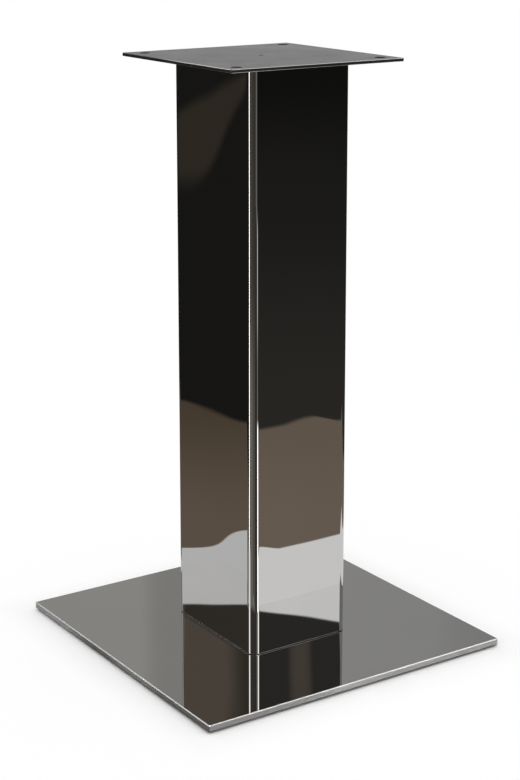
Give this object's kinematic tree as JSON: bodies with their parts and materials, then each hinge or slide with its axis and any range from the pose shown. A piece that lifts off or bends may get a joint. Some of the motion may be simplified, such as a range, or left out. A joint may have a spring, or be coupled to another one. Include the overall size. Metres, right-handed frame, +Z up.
{
  "type": "table base",
  "caption": "Pedestal table base: polished square floor plate, polished rectangular column and a thin black plate with fixing holes that carries the table top.",
  "frame": {"origin": "on the floor under the middle of the base plate", "axes": "+Z up to the plate that carries the table top; X and Y along the plates' edges, with the column's narrow side along X"},
  "size_m": [0.42, 0.42, 0.72],
  "materials": {
    "polished_steel": "mirror-polished faces, satin ground plate edges",
    "black_coat": "fine matt powder coat",
    "zinc_steel": "dull zinc plate",
    "glide_pad": "matt"
  },
  "bodies": {
    "root": {"base_plate": "polished_steel", "column": "polished_steel", "top_plate": "black_coat", "upper_spigot": "black_coat", "lower_spigot": "zinc_steel", "spigot_screws": "zinc_steel", "tie_rod": "zinc_steel", "rod_lock_nut": "zinc_steel", "rod_washer": "zinc_steel", "rod_nut": "zinc_steel", "glide_front_left": "glide_pad", "glide_front_right": "glide_pad", "glide_back_left": "glide_pad", "glide_back_right": "glide_pad"}
  },
  "joints": []
}
